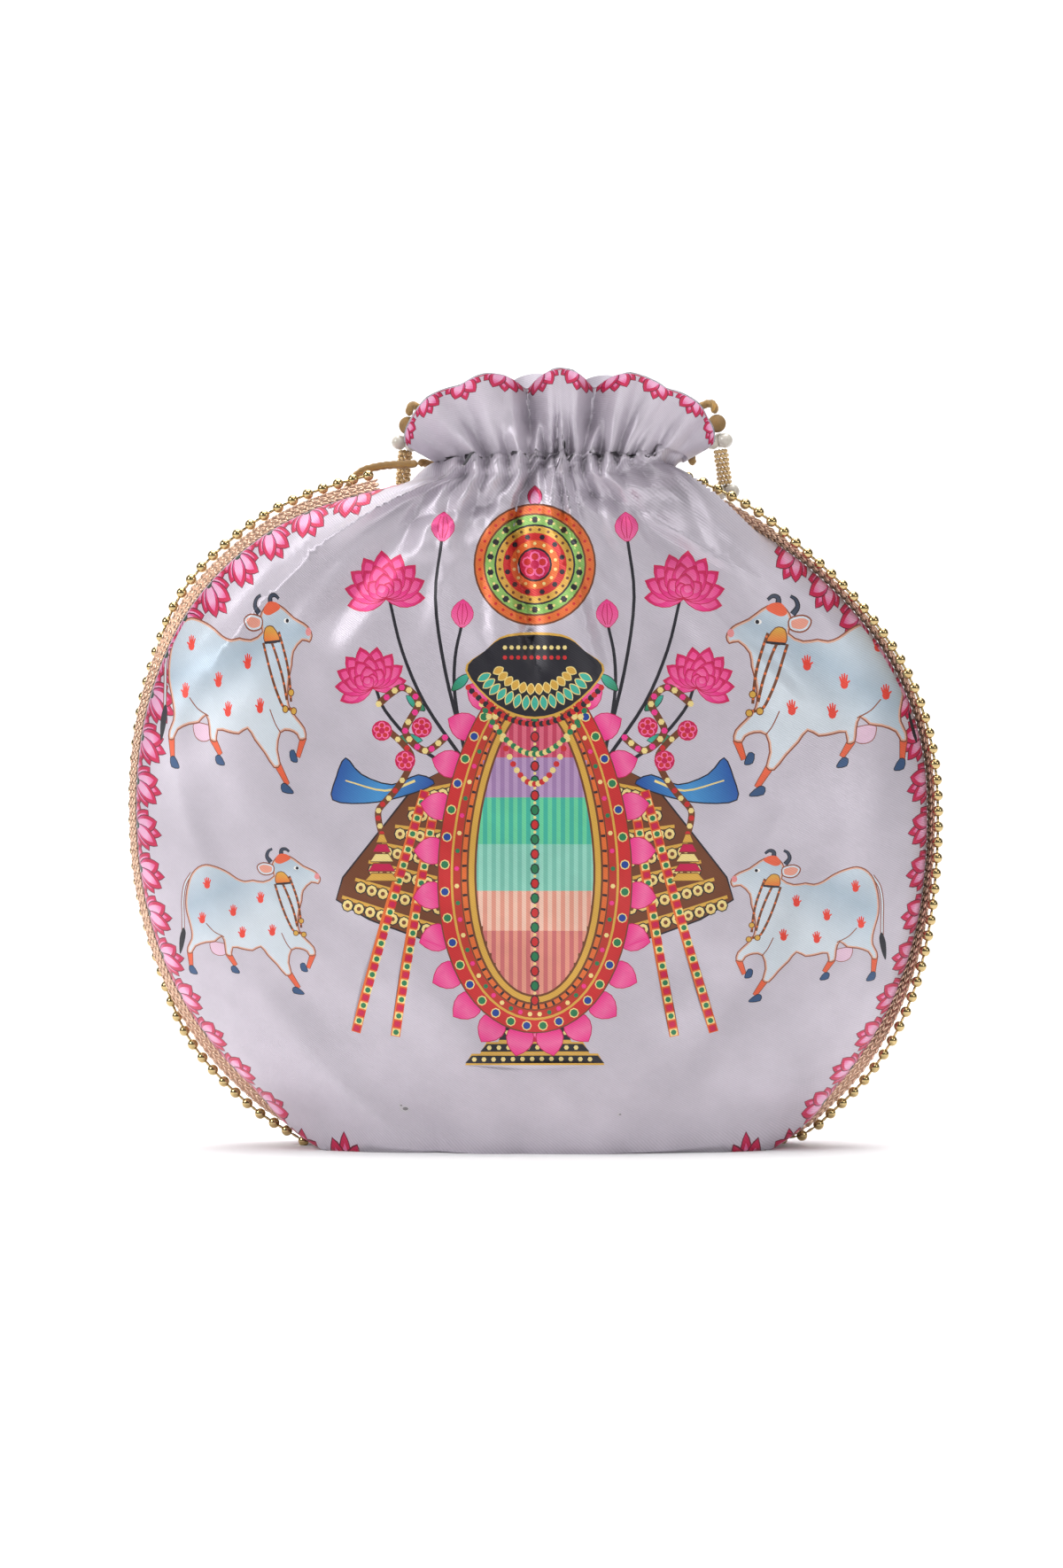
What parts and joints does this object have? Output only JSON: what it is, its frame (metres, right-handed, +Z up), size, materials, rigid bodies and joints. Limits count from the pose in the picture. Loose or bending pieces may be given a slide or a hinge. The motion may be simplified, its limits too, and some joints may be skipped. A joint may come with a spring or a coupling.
{
  "type": "drawstring reticule (satin potli bag)",
  "caption": "Round flat satin drawstring pouch on a flattened base, gathered to a frilled neck, with a ball-edged seam, a cord handle and beaded tassels.",
  "frame": {"origin": "on the floor, under the middle of the pouch's width and depth", "axes": "+Z up, +X along the pouch's width, the decorated front faces -Y"},
  "size_m": [0.2519, 0.072, 0.2374],
  "materials": {
    "satin": "lustrous satin weave",
    "rose_gold_braid": "metallic chain-stitch braid",
    "gold_plate": "polished pale gold",
    "gold_thread": "twisted antique gold thread",
    "pearl": "pearl lustre",
    "gold_glass": "glossy amber gold beads"
  },
  "bodies": {
    "root": {"front_panel": "satin", "back_panel": "satin", "edge_tape": "rose_gold_braid", "ball_edging": "gold_plate", "handle_cord": "gold_thread", "tassel_cord_left": "gold_thread", "tassel_cord_right": "gold_thread", "wrapped_ball_left": "gold_thread", "wrapped_ball_right": "gold_thread", "upper_pearls_left": "pearl", "upper_pearls_right": "pearl", "bead_barrel_left": "gold_glass", "bead_barrel_right": "gold_glass", "lower_pearls_left": "pearl", "lower_pearls_right": "pearl", "end_bead_left": "gold_glass", "end_bead_right": "gold_glass"}
  },
  "joints": []
}
